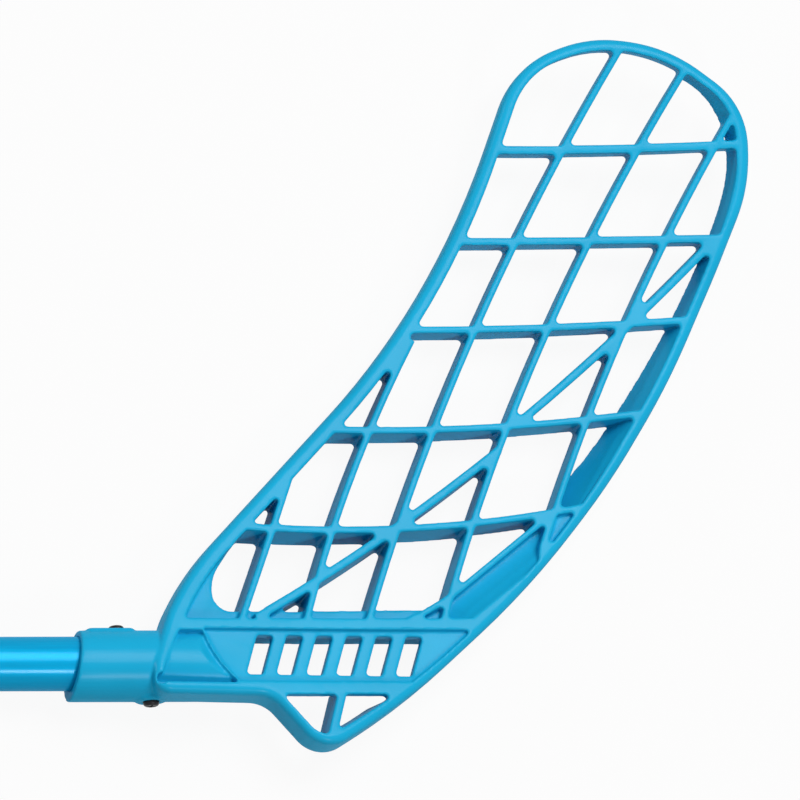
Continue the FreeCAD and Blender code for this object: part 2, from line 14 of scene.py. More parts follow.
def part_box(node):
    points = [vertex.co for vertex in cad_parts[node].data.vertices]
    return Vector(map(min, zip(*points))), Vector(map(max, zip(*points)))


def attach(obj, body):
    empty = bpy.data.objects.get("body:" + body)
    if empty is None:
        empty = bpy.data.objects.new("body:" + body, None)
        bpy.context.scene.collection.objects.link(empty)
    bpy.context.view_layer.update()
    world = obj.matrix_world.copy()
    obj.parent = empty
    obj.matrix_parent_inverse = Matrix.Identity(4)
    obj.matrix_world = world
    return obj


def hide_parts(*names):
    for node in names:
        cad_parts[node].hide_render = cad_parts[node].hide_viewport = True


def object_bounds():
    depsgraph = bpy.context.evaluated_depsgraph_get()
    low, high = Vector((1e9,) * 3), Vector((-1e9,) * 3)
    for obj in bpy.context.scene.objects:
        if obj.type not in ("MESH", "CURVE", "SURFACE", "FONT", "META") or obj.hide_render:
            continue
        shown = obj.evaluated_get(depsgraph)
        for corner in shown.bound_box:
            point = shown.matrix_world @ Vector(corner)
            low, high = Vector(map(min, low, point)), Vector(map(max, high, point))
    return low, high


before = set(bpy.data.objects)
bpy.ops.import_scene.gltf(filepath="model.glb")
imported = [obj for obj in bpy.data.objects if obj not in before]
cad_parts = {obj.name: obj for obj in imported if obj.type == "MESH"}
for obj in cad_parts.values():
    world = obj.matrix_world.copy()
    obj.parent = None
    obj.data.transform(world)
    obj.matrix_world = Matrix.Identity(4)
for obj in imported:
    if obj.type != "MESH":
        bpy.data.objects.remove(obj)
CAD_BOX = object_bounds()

LOG = logging.getLogger("floorball_stick")
MM = 0.001
BODY = "root"
Number = Union[int, float]
Colour = tuple[float, float, float, float]
Place = tuple[float, float, float]
WHITE: Colour = (1, 1, 1, 1)
NOISE_MEAN = 0.5
NEAR = 0.1 * MM
SAME = 1e-6
FACING = 0.9


class Axis(Enum):
    """Row axes that a turned piece can lie along, with the turn that lays a +Z primitive on them."""

    ALONG_SHAFT = Matrix.Rotation(math.radians(90), 4, "Y")
    TO_TOE = Matrix.Rotation(math.radians(-90), 4, "X")
    FROM_TOE = Matrix.Rotation(math.radians(90), 4, "X")


class Shade:
    """A shader value whose arithmetic adds Math nodes to its tree."""

    def __init__(self, tree: bpy.types.NodeTree, socket: bpy.types.NodeSocket) -> None:
        """Wraps one output socket of a tree."""
        self.tree = tree
        self.socket = socket

    def math(self, operation: str, *others: Union["Shade", Number], first: bool = True) -> "Shade":
        """Adds one Math node.

        Args:
            operation: the node's operation.
            others: the other operands.
            first: whether this value is the first operand, or the last.

        Returns:
            The node's value.
        """
        node = self.tree.nodes.new("ShaderNodeMath")
        node.operation = operation
        operands = [self, *others] if first else [*others, self]
        for socket, value in zip(node.inputs, operands):
            if isinstance(value, Shade):
                self.tree.links.new(value.socket, socket)
            else:
                socket.default_value = value
        return Shade(self.tree, node.outputs[0])

    def __add__(self, other: Union["Shade", Number]) -> "Shade":
        """Sum."""
        return self.math("ADD", other)

    def __radd__(self, other: Number) -> "Shade":
        """Sum with a number in front."""
        return self.math("ADD", other, first=False)

    def __sub__(self, other: Union["Shade", Number]) -> "Shade":
        """Difference."""
        return self.math("SUBTRACT", other)

    def __rsub__(self, other: Number) -> "Shade":
        """Difference from a number."""
        return self.math("SUBTRACT", other, first=False)

    def __mul__(self, other: Union["Shade", Number]) -> "Shade":
        """Product."""
        return self.math("MULTIPLY", other)

    def __rmul__(self, other: Number) -> "Shade":
        """Product with a number in front."""
        return self.math("MULTIPLY", other, first=False)

    def __truediv__(self, other: Union["Shade", Number]) -> "Shade":
        """Quotient."""
        return self.math("DIVIDE", other)

    def fraction(self) -> "Shade":
        """What is left after the whole part."""
        return self.math("FRACT")

    def eased(self, low: float, high: float) -> "Shade":
        """Smooth step from 0 at low to 1 at high."""
        node = self.tree.nodes.new("ShaderNodeMapRange")
        node.interpolation_type = "SMOOTHSTEP"
        self.tree.links.new(self.socket, node.inputs["Value"])
        node.inputs["From Min"].default_value = low
        node.inputs["From Max"].default_value = high
        return Shade(self.tree, node.outputs["Result"])


class Palette:
    """One material under construction: a Principled shader and the nodes that feed it."""

    def __init__(self, name: str) -> None:
        """Starts an empty material with its shader and output.

        Args:
            name: the material's name.
        """
        self.material = bpy.data.materials.new(name)
        self.material.use_nodes = True
        self.tree = self.material.node_tree
        self.tree.nodes.clear()
        self.output = self.node("ShaderNodeOutputMaterial")
        self.shader = self.node("ShaderNodeBsdfPrincipled")
        self.link(self.shader.outputs["BSDF"], self.output.inputs["Surface"])

    def link(self, source: bpy.types.NodeSocket, target: bpy.types.NodeSocket) -> None:
        """Links two sockets."""
        self.tree.links.new(source, target)

    def node(self, kind: str, settings: Optional[dict[str, Any]] = None, **inputs: Any) -> bpy.types.Node:
        """Adds a node of any kind.

        Args:
            kind: the node's type.
            settings: properties that are set before its sockets.
            inputs: values or links by socket name, with spaces as underscores.

        Returns:
            The node.
        """
        node = self.tree.nodes.new(kind)
        for key, value in (settings or {}).items():
            setattr(node, key, value)
        self.feed(node, inputs)
        return node

    def feed(self, node: bpy.types.Node, inputs: dict[str, Any]) -> None:
        """Sets or links a node's sockets.

        Args:
            node: the node.
            inputs: values or links by socket name, with spaces as underscores.
        """
        for key, value in inputs.items():
            socket = node.inputs[key.replace("_", " ")]
            if isinstance(value, Shade):
                self.link(value.socket, socket)
            elif isinstance(value, bpy.types.NodeSocket):
                self.link(value, socket)
            else:
                socket.default_value = value

    def value(self, socket: bpy.types.NodeSocket) -> Shade:
        """A socket as a value to reckon with."""
        return Shade(self.tree, socket)

    def place(self) -> bpy.types.NodeSocket:
        """Object coordinates, in metres in the row frame."""
        return self.node("ShaderNodeTexCoord").outputs["Object"]

    def noise(self, size: float, detail: float = 2.0, stretch: Place = (1.0, 1.0, 1.0)) -> Shade:
        """Noise whose grains are about a given size.

        Args:
            size: size of a grain in metres.
            detail: octaves.
            stretch: scale of the coordinates along each axis.

        Returns:
            The noise, about 0.5 on average.
        """
        spread = self.node("ShaderNodeMapping", Vector=self.place(), Scale=stretch)
        made = self.node(
            "ShaderNodeTexNoise", Vector=spread.outputs["Vector"], Scale=1 / size, Detail=detail)
        return self.value(made.outputs["Fac"])

    def between(self, share: Shade, low: Colour, high: Colour) -> bpy.types.NodeSocket:
        """Colour between two others by a share."""
        mix = self.node("ShaderNodeMix", {"data_type": "RGBA"})
        self.link(share.socket, mix.inputs["Factor"])
        for name, colour in (("A", low), ("B", high)):
            socket = [s for s in mix.inputs if s.name == name and s.type == "RGBA"][0]
            socket.default_value = colour
        return [s for s in mix.outputs if s.type == "RGBA"][0]

    def bumped(self, height: Shade, depth: float) -> None:
        """Roughens the shader's normal.

        Args:
            height: height of the surface from 0 to 1.
            depth: what a height of 1 is in metres.
        """
        bump = self.node("ShaderNodeBump", Height=height, Distance=depth, Strength=1.0)
        self.link(bump.outputs["Normal"], self.shader.inputs["Normal"])

    def set(self, **inputs: Any) -> None:
        """Values or links of the shader's own sockets, with spaces as underscores."""
        self.feed(self.shader, inputs)


@dataclass(frozen=True)
class MouldedPlastic:
    """Satin injection-moulded plastic with a fine spark-eroded grain."""

    name: str
    colour: Colour
    deep_colour: Colour
    roughness: float
    grain: float = 0.45 * MM
    grain_depth: float = 0.012 * MM
    flow: float = 38 * MM
    flow_dulling: float = 0.10
    grain_dulling: float = 0.06
    coat: float = 0.18
    coat_roughness: float = 0.27

    def make(self) -> bpy.types.Material:
        """Builds the material."""
        palette = Palette(self.name)
        flow = palette.noise(self.flow, 3.0)
        grain = palette.noise(self.grain, 2.0)
        mottle = flow * 0.8 + grain * 0.2
        tint = palette.between(mottle.eased(0.25, 0.75), self.deep_colour, self.colour)
        dulled = self.roughness + (flow - NOISE_MEAN) * self.flow_dulling
        rough = dulled + (grain - NOISE_MEAN) * self.grain_dulling
        palette.set(Base_Color=tint, Roughness=rough, Specular_IOR_Level=0.0)
        palette.set(Coat_Weight=self.coat, Coat_Roughness=self.coat_roughness)
        palette.bumped(grain, self.grain_depth)
        return palette.material


@dataclass(frozen=True)
class Lacquer:
    """Gloss lacquer over a wound composite tube, with a faint lay of fibres under it."""

    name: str
    colour: Colour
    deep_colour: Colour
    fibre: float = 0.5 * MM
    orange_peel: float = 2.5 * MM
    peel_depth: float = 0.006 * MM
    flake: float = 0.17
    roughness: float = 0.36
    fibre_dulling: float = 0.1
    coat: float = 0.09
    coat_roughness: float = 0.12

    def make(self) -> bpy.types.Material:
        """Builds the material."""
        palette = Palette(self.name)
        fibres = palette.noise(self.fibre, 2.0, (0.02, 1.0, 1.0))
        peel = palette.noise(self.orange_peel, 1.0)
        tint = palette.between(fibres.eased(0.3, 0.7), self.deep_colour, self.colour)
        rough = self.roughness + (fibres - NOISE_MEAN) * self.fibre_dulling
        palette.set(Base_Color=tint, Metallic=self.flake, Roughness=rough, Specular_IOR_Level=0.0)
        palette.set(Coat_Weight=self.coat, Coat_Roughness=self.coat_roughness)
        palette.bumped(peel, self.peel_depth)
        return palette.material


@dataclass(frozen=True)
class BlackOxide:
    """Blackened screw steel with worn high spots."""

    name: str
    colour: Colour
    worn: Colour
    wear: float = 0.7 * MM
    wear_depth: float = 0.006 * MM
    metal: float = 0.75
    roughness: float = 0.36
    wear_dulling: float = 0.2

    def make(self) -> bpy.types.Material:
        """Builds the material."""
        palette = Palette(self.name)
        wear = palette.noise(self.wear, 4.0)
        tint = palette.between(wear.eased(0.62, 0.78), self.colour, self.worn)
        rough = self.roughness + (wear - NOISE_MEAN) * self.wear_dulling
        palette.set(Base_Color=tint, Metallic=self.metal, Roughness=rough)
        palette.bumped(wear, self.wear_depth)
        return palette.material


@dataclass(frozen=True)
class MouldedRubber:
    """Matt black rubber with a faint bloom."""

    name: str
    colour: Colour
    bloom: Colour
    roughness: float = 0.62
    cloud: float = 9 * MM
    cloud_dulling: float = 0.16
    grain: float = 0.35 * MM
    grain_depth: float = 0.02 * MM

    def make(self) -> bpy.types.Material:
        """Builds the material."""
        palette = Palette(self.name)
        cloud = palette.noise(self.cloud, 3.0)
        grain = palette.noise(self.grain, 2.0)
        tint = palette.between(cloud.eased(0.35, 0.8), self.colour, self.bloom)
        palette.set(Base_Color=tint, Roughness=self.roughness + (cloud - NOISE_MEAN) * self.cloud_dulling)
        palette.bumped(grain, self.grain_depth)
        return palette.material


@dataclass(frozen=True)
class PerforatedGrip:
    """Soft grip tape with rows of small punched holes that follow its winding, the holes painted darker as
    shade.
    """

    name: str
    colour: Colour
    # colour in the holes: painted shade, darker than the tape
    hole_shade: Colour
    radius: float
    lead: float
    hole_pitch: float = 3.2 * MM
    hole_radius: float = 0.55 * MM
    hole_depth: float = 0.25 * MM
    grain: float = 0.5 * MM
    roughness: float = 0.72
    grain_dulling: float = 0.2

    def make(self) -> bpy.types.Material:
        """Builds the material."""
        palette = Palette(self.name)
        split = palette.node("ShaderNodeSeparateXYZ", Vector=palette.place())
        along, across, up = (palette.value(split.outputs[axis]) for axis in "XYZ")
        turn = across.math("ARCTAN2", up) / (2 * math.pi)
        rows = round(2 * math.pi * self.radius / self.hole_pitch)
        ring = turn * rows
        line = (along - turn * self.lead) / self.hole_pitch
        side = (ring.fraction() - 0.5) * self.hole_pitch
        ahead = (line.fraction() - 0.5) * self.hole_pitch
        distance = (side * side + ahead * ahead).math("SQRT")
        solid = distance.eased(self.hole_radius * 0.7, self.hole_radius * 1.3)
        grain = palette.noise(self.grain, 3.0)
        # the holes take the darker colour: painted shade in the punched holes
        tint = palette.between(solid, self.hole_shade, self.colour)
        palette.set(Base_Color=tint, Roughness=self.roughness + (grain - NOISE_MEAN) * self.grain_dulling)
        palette.bumped(solid * 0.8 + grain * 0.2, self.hole_depth)
        return palette.material


@contextmanager
def editing(piece: bpy.types.Object) -> Iterator[None]:
    """Edit mode on one object, with nothing else selected.

    Args:
        piece: the object.

    Yields:
        Nothing.
    """
    alone(piece)
    bpy.ops.object.mode_set(mode="EDIT")
    yield
    bpy.ops.object.mode_set(mode="OBJECT")


def alone(piece: bpy.types.Object) -> None:
    """Selects one object and nothing else."""
    bpy.ops.object.select_all(action="DESELECT")
    piece.select_set(True)
    bpy.context.view_layer.objects.active = piece


def pick_faces(piece: bpy.types.Object, wanted: Callable[[Vector, Vector], bool]) -> None:
    """Selects the faces that a test on their middle and normal wants, in edit mode.

    Args:
        piece: the object in edit mode.
        wanted: the test.
    """
    bpy.ops.mesh.select_mode(type="FACE")
    bpy.ops.mesh.select_all(action="DESELECT")
    made = bmesh.from_edit_mesh(piece.data)
    for face in made.faces:
        face.select_set(wanted(face.calc_center_median(), face.normal))
    bmesh.update_edit_mesh(piece.data)


def pick_edges(piece: bpy.types.Object, wanted: Callable[[Vector, Vector], bool]) -> None:
    """Selects the edges that a test on their two ends wants, in edit mode.

    Args:
        piece: the object in edit mode.
        wanted: the test.
    """
    bpy.ops.mesh.select_mode(type="EDGE")
    bpy.ops.mesh.select_all(action="DESELECT")
    made = bmesh.from_edit_mesh(piece.data)
    for edge in made.edges:
        edge.select_set(wanted(edge.verts[0].co, edge.verts[1].co))
    bmesh.update_edit_mesh(piece.data)


def modified(piece: bpy.types.Object, kind: str, **settings: Any) -> None:
    """Adds a modifier to an object and applies it.

    Args:
        piece: the object.
        kind: the modifier's type.
        settings: its properties.
    """
    alone(piece)
    modifier = piece.modifiers.new(kind.lower(), kind)
    for key, value in settings.items():
        setattr(modifier, key, value)
    bpy.ops.object.modifier_apply(modifier=modifier.name)


def settle(piece: bpy.types.Object, place: Matrix) -> None:
    """Puts a turn and a place into an object's mesh and leaves the object at the origin.

    Args:
        piece: the object.
        place: where its own axes go in the row frame.
    """
    piece.data.transform(place @ piece.matrix_world)
    piece.matrix_world = Matrix.Identity(4)
    piece.data.update()


def cylinder(name: str, radius: float, length: float, sides: int, fill: str = "NGON") -> bpy.types.Object:
    """Adds a cylinder that stands on the origin along +Z.

    Args:
        name: the object's name.
        radius: its radius in metres.
        length: its length in metres.
        sides: its number of sides.
        fill: how its ends are closed.

    Returns:
        The object.
    """
    bpy.ops.object.select_all(action="DESELECT")
    bpy.ops.mesh.primitive_cylinder_add(
        vertices=sides, radius=radius, depth=length, end_fill_type=fill, location=(0, 0, length / 2))
    piece = bpy.context.object
    piece.name = name
    settle(piece, Matrix.Identity(4))
    return piece


def finished(piece: bpy.types.Object, finish: Any, nodes: tuple[str, ...], angle: float) -> None:
    """Shades a piece, gives it its finish and joins it to the frame.

    Args:
        piece: the finished mesh.
        finish: its finish.
        nodes: the CAD nodes it stands for.
        angle: edges sharper than this, in degrees, stay crisp.
    """
    alone(piece)
    bpy.ops.object.shade_smooth_by_angle(angle=math.radians(angle))
    piece.data.materials.clear()
    piece.data.materials.append(finish.make())
    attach(piece, BODY)
    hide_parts(*nodes)
    LOG.info("%s: %d faces, stands for %s", piece.name, len(piece.data.polygons), ", ".join(nodes))


@dataclass
class Blade:
    """The moulded cage with its socket, its edges softened as they leave the mould."""

    voxel: float = 0.42 * MM
    smoothing: float = 0.5
    passes: int = 10
    swell: float = 0.12 * MM
    most_triangles: int = 190_000

    def build(self) -> bpy.types.Object:
        """Makes the softened moulding from the solid.

        Returns:
            The blade.
        """
        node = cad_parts["blade"]
        piece = node.copy()
        piece.data = node.data.copy()
        piece.name = "moulded_blade"
        piece.parent = None
        bpy.context.scene.collection.objects.link(piece)
        with editing(piece):
            bpy.ops.mesh.select_all(action="SELECT")
            bpy.ops.mesh.remove_doubles(threshold=SAME)
        for key in list(piece.keys()):
            del piece[key]
        modified(piece, "REMESH", mode="VOXEL", voxel_size=self.voxel, adaptivity=0.0)
        modified(piece, "SMOOTH", factor=self.smoothing, iterations=self.passes)
        modified(piece, "DISPLACE", strength=self.swell, mid_level=0.0, direction="NORMAL")
        triangles = sum(len(face.vertices) - 2 for face in piece.data.polygons)
        LOG.info("%s: %d triangles before thinning", piece.name, triangles)
        kept = min(1.0, self.most_triangles / triangles)
        modified(piece, "DECIMATE", decimate_type="COLLAPSE", ratio=kept)
        return piece

    def dress(self, piece: bpy.types.Object) -> None:
        """Gives the moulding its sky-blue plastic."""
        plastic = MouldedPlastic(
            "sky_blue_plastic", (0.010, 0.40, 0.67, 1), (0.007, 0.36, 0.61, 1), roughness=0.40)
        finished(piece, plastic, ("blade",), angle=60)


@dataclass
class Shaft:
    """The lacquered tube, wide at the grip and slim at the blade."""

    lower_radius: float = 10.1 * MM
    upper_radius: float = 12.3 * MM
    wall: float = 1.7 * MM
    lower_length: float = 430 * MM
    taper_length: float = 210 * MM
    sides: int = 96
    edge_round: float = 0.4 * MM

    def build(self) -> bpy.types.Object:
        """Makes the tube.

        Returns:
            The shaft.
        """
        low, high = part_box("shaft")
        length = high.x - low.x
        taper_end = length - self.lower_length
        taper_start = taper_end - self.taper_length
        piece = cylinder("lacquered_shaft", self.upper_radius, length, self.sides, "NOTHING")
        with editing(piece):
            for height in (taper_start, taper_end):
                bpy.ops.mesh.select_all(action="SELECT")
                bpy.ops.mesh.bisect(plane_co=(0, 0, height), plane_no=(0, 0, 1))
            pick_edges(piece, lambda a, b: min(a.z, b.z) > taper_end - MM)
            slim = self.lower_radius / self.upper_radius
            bpy.ops.transform.resize(value=(slim, slim, 1), center_override=(0, 0, 0))
        modified(piece, "SOLIDIFY", thickness=self.wall, offset=-1, use_even_offset=True)
        modified(piece, "BEVEL", width=self.edge_round, segments=3, limit_method="ANGLE", angle_limit=1.0)
        settle(piece, Matrix.Translation((low.x, 0, 0)) @ Axis.ALONG_SHAFT.value)
        return piece

    def dress(self, piece: bpy.types.Object) -> None:
        """Gives the tube its blue lacquer."""
        lacquer = Lacquer("blue_lacquer", (0.002, 0.34, 0.62, 1), (0.002, 0.31, 0.58, 1))
        finished(piece, lacquer, ("shaft",), angle=12)


@dataclass
class BladeScrew:
    """One pan-head screw with a cross recess and a cut thread."""

    node: str
    faces: Axis
    head_radius: float = 3.0 * MM
    head_height: float = 2.1 * MM
    head_round: float = 1.2 * MM
    shank_radius: float = 1.7 * MM
    thread_depth: float = 0.35 * MM
    thread_pitch: float = 1.3 * MM
    recess_width: float = 0.85 * MM
    recess_length: float = 3.3 * MM
    recess_depth: float = 1.1 * MM
    head_sides: int = 48
    shank_sides: int = 24
    point_radius: float = 0.1 * MM

    def build(self) -> bpy.types.Object:
        """Makes the screw standing on its head's underside, then lays it in its seat.

        Returns:
            The screw.
        """
        low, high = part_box(self.node)
        length = (high.y - low.y) - self.head_height
        head = cylinder(self.node + "_dressed", self.head_radius, self.head_height, self.head_sides)
        with editing(head):
            pick_edges(head, lambda a, b: min(a.z, b.z) > self.head_height - NEAR)
            bpy.ops.mesh.bevel(offset=self.head_round, segments=5, affect="EDGES")
        for turn in (0, 90):
            self.cut_recess(head, turn)
        self.join_thread(head, length)
        middle = (low + high) / 2
        seat = low.y + length if self.faces is Axis.TO_TOE else high.y - length
        settle(head, Matrix.Translation((middle.x, seat, middle.z)) @ self.faces.value)
        return head

    def cut_recess(self, head: bpy.types.Object, turn: float) -> None:
        """Cuts one bar of the cross recess.

        Args:
            head: the screw's head.
            turn: how far the bar is turned about the screw, in degrees.
        """
        bpy.ops.object.select_all(action="DESELECT")
        bpy.ops.mesh.primitive_cube_add(size=1, location=(0, 0, self.head_height))
        tool = bpy.context.object
        tool.scale = (self.recess_length, self.recess_width, 2 * self.recess_depth)
        tool.rotation_euler = (0, 0, math.radians(turn))
        bpy.context.view_layer.update()
        settle(tool, Matrix.Identity(4))
        modified(head, "BOOLEAN", operation="DIFFERENCE", object=tool, solver="EXACT")
        bpy.data.objects.remove(tool)

    def join_thread(self, head: bpy.types.Object, length: float) -> None:
        """Adds the threaded shank and its point under the head.

        Args:
            head: the screw's head.
            length: length of the shank with its point.
        """
        point = self.shank_radius
        run = length - point
        root = self.shank_radius - self.thread_depth
        turns = int(run / self.thread_pitch) + 3
        bpy.ops.object.select_all(action="DESELECT")
        bpy.ops.mesh.primitive_circle_add(vertices=3, radius=self.thread_pitch)
        shank = bpy.context.object
        with editing(shank):
            made = bmesh.from_edit_mesh(shank.data)
            profile = [(root, 0.0), (self.shank_radius, self.thread_pitch / 2), (root, self.thread_pitch)]
            for vert, (radius, height) in zip(list(made.verts), profile):
                vert.co = (radius, 0, height - length - 2 * self.thread_pitch)
            ends = [made.verts[:][0], made.verts[:][2]]
            closing = [e for e in made.edges if set(e.verts) == set(ends)]
            bmesh.ops.delete(made, geom=closing, context="EDGES")
            bmesh.update_edit_mesh(shank.data)
        modified(shank, "SCREW", axis="Z", angle=2 * math.pi, screw_offset=self.thread_pitch,
                 iterations=turns, steps=self.shank_sides, render_steps=self.shank_sides,
                 use_merge_vertices=True, merge_threshold=SAME)
        with editing(shank):
            for height, way in ((0.0, 1), (point - length, -1)):
                bpy.ops.mesh.select_all(action="SELECT")
                bpy.ops.mesh.bisect(
                    plane_co=(0, 0, height), plane_no=(0, 0, way), use_fill=True, clear_outer=True)
            bpy.ops.mesh.select_all(action="SELECT")
            bpy.ops.mesh.normals_make_consistent(inside=False)
        bpy.ops.object.select_all(action="DESELECT")
        bpy.ops.mesh.primitive_cone_add(
            vertices=self.shank_sides, radius1=self.point_radius, radius2=root, depth=point,
            location=(0, 0, point / 2 - length))
        tip = bpy.context.object
        alone(head)
        shank.select_set(True)
        tip.select_set(True)
        bpy.ops.object.join()

    def dress(self, piece: bpy.types.Object) -> None:
        """Gives the screw its black oxide."""
        steel = BlackOxide(self.node + "_oxide", (0.012, 0.012, 0.014, 1), (0.07, 0.07, 0.075, 1))
        finished(piece, steel, (self.node,), angle=30)


@dataclass
class EndCap:
    """The rubber knob with its plug."""

    head_radius: float = 15.5 * MM
    head_thickness: float = 6.0 * MM
    head_round: float = 2.2 * MM
    plug_radius: float = 10.5 * MM
    plug_wall: float = 2.4 * MM
    ring_inset: float = 3.0 * MM
    ring_width: float = 1.2 * MM
    ring_depth: float = 0.5 * MM
    edge_round: float = 0.15 * MM
    sides: int = 96

    def build(self) -> bpy.types.Object:
        """Makes the cap.

        Returns:
            The cap.
        """
        low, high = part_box("end_cap")
        reach = high.x - low.x
        piece = cylinder("butt_cap", self.head_radius, self.head_thickness, self.sides)
        with editing(piece):
            pick_faces(piece, lambda middle, normal: normal.z > FACING)
            bpy.ops.mesh.inset(thickness=self.head_radius - self.plug_radius)
            bpy.ops.mesh.extrude_region_move(
                TRANSFORM_OT_translate={"value": (0, 0, reach - self.head_thickness)})
            bpy.ops.mesh.inset(thickness=self.plug_wall)
            bpy.ops.mesh.extrude_region_move(
                TRANSFORM_OT_translate={"value": (0, 0, self.head_thickness - reach)})
            pick_faces(piece, lambda middle, normal: normal.z < -FACING and middle.z < NEAR)
            bpy.ops.mesh.inset(thickness=self.head_round + self.ring_inset)
            bpy.ops.mesh.inset(thickness=self.ring_width)
            rim = self.head_radius - self.head_round - self.ring_inset
            pick_faces(piece, lambda middle, normal: abs(middle.z) < NEAR and normal.z < -FACING
                       and rim - self.ring_width < middle.xy.length < rim)
            bpy.ops.mesh.extrude_region_move(TRANSFORM_OT_translate={"value": (0, 0, self.ring_depth)})
            crest = self.head_radius - NEAR
            pick_edges(piece, lambda a, b: min(a.xy.length, b.xy.length) > crest and abs(a.z - b.z) < SAME)
            bpy.ops.mesh.bevel(offset=self.head_round, segments=6, affect="EDGES")
        modified(piece, "BEVEL", width=self.edge_round, segments=2, limit_method="ANGLE", angle_limit=1.0)
        settle(piece, Matrix.Translation((low.x, 0, 0)) @ Axis.ALONG_SHAFT.value)
        return piece

    def dress(self, piece: bpy.types.Object) -> None:
        """Gives the cap its black rubber."""
        rubber = MouldedRubber("cap_rubber", (0.016, 0.016, 0.018, 1), (0.03, 0.03, 0.032, 1))
        finished(piece, rubber, ("end_cap",), angle=40)


@dataclass
class GripTape:
    """The grip tape, one strip wound round the tube so that each turn laps over the last."""

    radius: float = 12.3 * MM
    ply: float = 0.95 * MM
    pitch: float = 24 * MM
    lap: float = 3.4 * MM
    edge: float = 0.35 * MM
    slope: float = 2.4 * MM
    slope_shift: float = 0.6 * MM
    steps: int = 72

    def profile(self) -> list[tuple[float, float]]:
        """Half section of one turn.

        Returns:
            Corners as length along the shaft and height over the tube, in metres, in order round the strip.
        """
        width = self.pitch + self.lap
        drop = self.lap + self.slope
        crown = 2 * self.ply
        under = [(0.0, self.ply), (self.lap, self.ply), (drop, 0.0), (width, 0.0)]
        over = [(width, self.ply - self.edge), (width - self.edge, self.ply),
                (drop + self.slope_shift, self.ply), (self.lap + self.slope_shift, crown),
                (self.edge, crown), (0.0, crown - self.edge)]
        return under + over

    def build(self) -> bpy.types.Object:
        """Makes the wound strip.

        Returns:
            The grip.
        """
        low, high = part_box("grip_tape")
        length = high.x - low.x
        turns = int(length / self.pitch) + 3
        corners = self.profile()
        bpy.ops.object.select_all(action="DESELECT")
        bpy.ops.mesh.primitive_circle_add(vertices=len(corners), radius=self.pitch)
        piece = bpy.context.object
        piece.name = "wound_grip"
        with editing(piece):
            made = bmesh.from_edit_mesh(piece.data)
            for vert, (along, rise) in zip(list(made.verts), corners):
                vert.co = (self.radius + rise, 0, along - 2 * self.pitch)
            bmesh.update_edit_mesh(piece.data)
        modified(piece, "SCREW", axis="Z", angle=2 * math.pi, screw_offset=self.pitch,
                 iterations=turns, steps=self.steps, render_steps=self.steps, use_merge_vertices=False)
        with editing(piece):
            for height, way in ((0.0, -1), (length, 1)):
                bpy.ops.mesh.select_all(action="SELECT")
                bpy.ops.mesh.bisect(
                    plane_co=(0, 0, height), plane_no=(0, 0, way), use_fill=True, clear_outer=True)
            bpy.ops.mesh.select_all(action="SELECT")
            bpy.ops.mesh.normals_make_consistent(inside=False)
        settle(piece, Matrix.Translation((low.x, 0, 0)) @ Axis.ALONG_SHAFT.value)
        return piece

    def dress(self, piece: bpy.types.Object) -> None:
        """Gives the tape its perforated black skin."""
        # the second colour is painted shade in the punched holes
        skin = PerforatedGrip("perforated_grip", (0.022, 0.022, 0.025, 1), (0.004, 0.004, 0.005, 1),
                              self.radius + self.ply, self.pitch)
        finished(piece, skin, ("grip_tape",), angle=45)


@dataclass
class GripBand:
    """The stretched band over the tape's lower end."""

    bare_radius: float = 12.3 * MM
    tape_thickness: float = 1.9 * MM
    thickness: float = 0.9 * MM
    lap: float = 5.0 * MM
    slope: float = 3.5 * MM
    edge_round: float = 0.3 * MM
    sides: int = 96

    def build(self) -> bpy.types.Object:
        """Makes the band.

        Returns:
            The band.
        """
        low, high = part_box("grip_band")
        length = high.x - low.x
        over = self.bare_radius + self.tape_thickness + self.thickness
        piece = cylinder("grip_band_dressed", over, length, self.sides, "NOTHING")
        with editing(piece):
            for height in (self.lap, self.lap + self.slope):
                bpy.ops.mesh.select_all(action="SELECT")
                bpy.ops.mesh.bisect(plane_co=(0, 0, height), plane_no=(0, 0, 1))
            pick_edges(piece, lambda a, b: min(a.z, b.z) > self.lap + self.slope - NEAR)
            slim = (self.bare_radius + self.thickness) / over
            bpy.ops.transform.resize(value=(slim, slim, 1), center_override=(0, 0, 0))
        modified(piece, "SOLIDIFY", thickness=self.thickness, offset=-1, use_even_offset=True)
        modified(piece, "BEVEL", width=self.edge_round, segments=3, limit_method="ANGLE", angle_limit=0.4)
        settle(piece, Matrix.Translation((low.x, 0, 0)) @ Axis.ALONG_SHAFT.value)
        return piece

    def dress(self, piece: bpy.types.Object) -> None:
        """Gives the band its smooth black rubber."""
        rubber = MouldedRubber("band_rubber", (0.012, 0.012, 0.014, 1), (0.02, 0.02, 0.022, 1), 0.45)
        finished(piece, rubber, ("grip_band",), angle=40)


@dataclass(frozen=True)
class Softbox:
    """One studio lamp, placed right, up and towards the camera from the blade's middle, in metres."""

    name: str
    place: Place
    size: tuple[float, float]
    power: float


